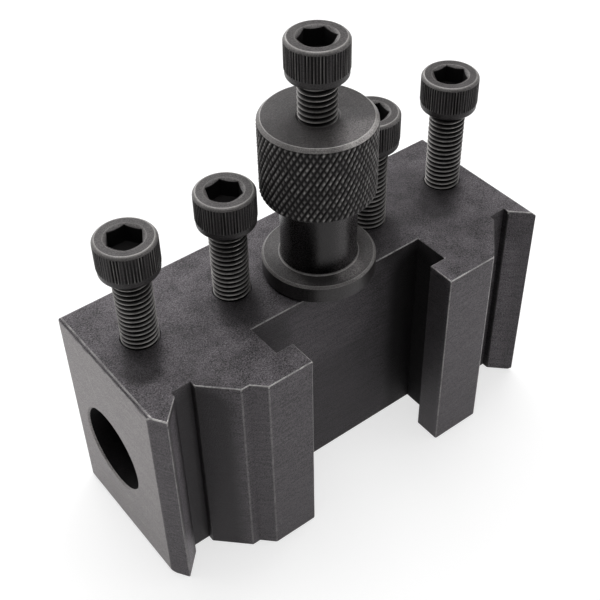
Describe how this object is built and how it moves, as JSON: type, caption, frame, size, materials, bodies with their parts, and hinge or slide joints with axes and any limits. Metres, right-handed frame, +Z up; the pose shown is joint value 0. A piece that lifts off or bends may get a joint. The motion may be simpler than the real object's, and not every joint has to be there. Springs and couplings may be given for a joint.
{
  "type": "quick change tool holder",
  "caption": "Blackened steel lathe tool holder block with a round bar bore, T slot, V grooves, cap screw clamps and a knurled height nut.",
  "frame": {"origin": "middle of the block's underside, which is also the middle of the whole part's footprint", "axes": "+X along the bar bore, +Y from the toolpost side to the back, +Z up along the screws"},
  "size_m": [0.1278, 0.054, 0.1345],
  "materials": {
    "block_steel": "matt black oxide with worn edges",
    "screw_steel": "satin black oxide",
    "nut_steel": "satin black oxide, turned and knurled"
  },
  "bodies": {
    "holder": {"holder_body": "block_steel", "height_stud": "screw_steel"},
    "clamp_1": {"clamp_screw_1": "screw_steel"},
    "clamp_2": {"clamp_screw_2": "screw_steel"},
    "clamp_3": {"clamp_screw_3": "screw_steel"},
    "clamp_4": {"clamp_screw_4": "screw_steel"},
    "nut": {"height_nut": "nut_steel"},
    "lock": {"lock_screw": "screw_steel"}
  },
  "joints": [
    {"name": "clamp_screw_1_slide", "type": "slide", "parent": "holder", "child": "clamp_1", "axis": [0, 0, 1], "range_m": [-0.0227, 0.012]},
    {"name": "clamp_screw_2_slide", "type": "slide", "parent": "holder", "child": "clamp_2", "axis": [0, 0, 1], "range_m": [-0.0227, 0.012]},
    {"name": "clamp_screw_3_slide", "type": "slide", "parent": "holder", "child": "clamp_3", "axis": [0, 0, 1], "range_m": [-0.0257, 0.009]},
    {"name": "clamp_screw_4_slide", "type": "slide", "parent": "holder", "child": "clamp_4", "axis": [0, 0, 1], "range_m": [-0.0257, 0.009]},
    {"name": "height_nut_slide", "type": "slide", "parent": "holder", "child": "nut", "axis": [0, 0, 1], "range_m": [0, 0.029]},
    {"name": "lock_screw_slide", "type": "slide", "parent": "nut", "child": "lock", "axis": [0, 0, 1], "range_m": [0, 0.0085]}
  ]
}
